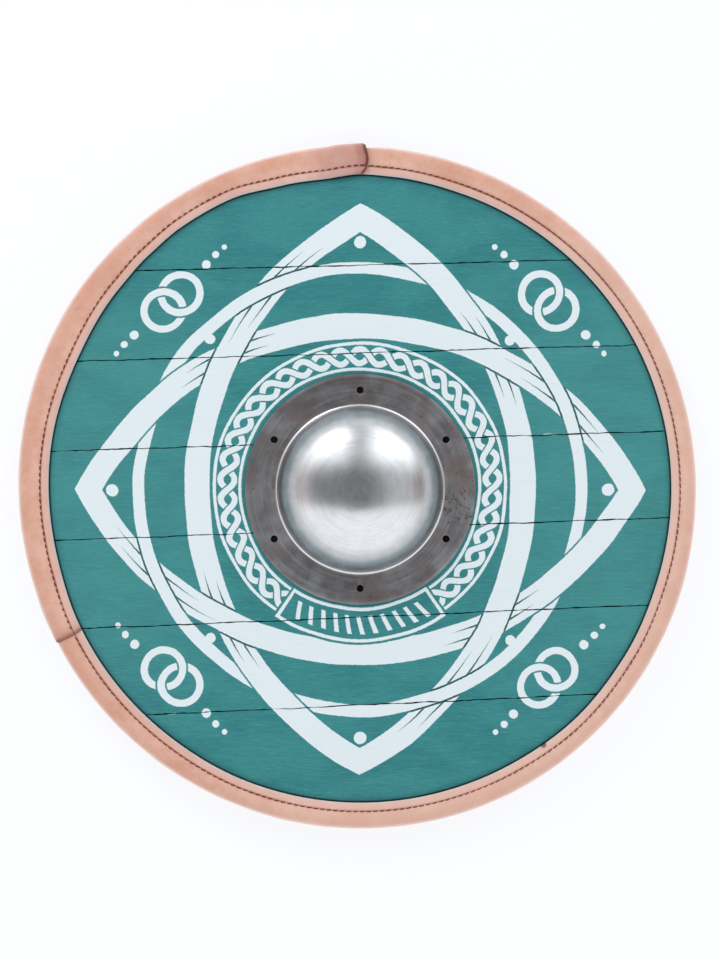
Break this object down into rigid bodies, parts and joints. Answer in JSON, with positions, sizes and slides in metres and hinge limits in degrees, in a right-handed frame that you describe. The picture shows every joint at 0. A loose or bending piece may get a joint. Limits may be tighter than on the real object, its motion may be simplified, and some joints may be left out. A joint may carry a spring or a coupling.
{
  "type": "wooden round shield",
  "caption": "Round plank shield with a steel boss over the hand hole, a stitched leather rim, a painted knotwork face, and a wooden grip and battens on the back.",
  "frame": {"origin": "under the middle of the round outline, on the plane of the battens' undersides, which the shield rests on when it lies face up", "axes": "+Z out of the face, along the boss's axis; +Y towards the top of the face, along the grip; +X to the right as the face is seen"},
  "size_m": [0.6099, 0.6114, 0.0764],
  "materials": {
    "painted_wood": "brushed-on matt teal paint with white painted pattern on the face, bare pine behind",
    "bare_wood": "planed, oiled pine",
    "rim_leather": "undyed vegetable-tanned leather, satin, saddle stitched",
    "boss_steel": "spun and polished dome, dark mill scale left on the flange",
    "nail_iron": "blackened iron"
  },
  "bodies": {
    "root": {"plank_1": "painted_wood", "plank_2": "painted_wood", "plank_3": "painted_wood", "plank_4_left": "painted_wood", "plank_4_right": "painted_wood", "plank_5": "painted_wood", "plank_6": "painted_wood", "plank_7": "painted_wood", "boss": "boss_steel", "boss_nail_1": "nail_iron", "boss_nail_2": "nail_iron", "boss_nail_3": "nail_iron", "boss_nail_4": "nail_iron", "boss_nail_5": "nail_iron", "boss_nail_6": "nail_iron", "grip": "bare_wood", "batten_left": "bare_wood", "batten_right": "bare_wood", "rim_leather_long": "rim_leather", "rim_leather_short": "rim_leather"}
  },
  "joints": []
}
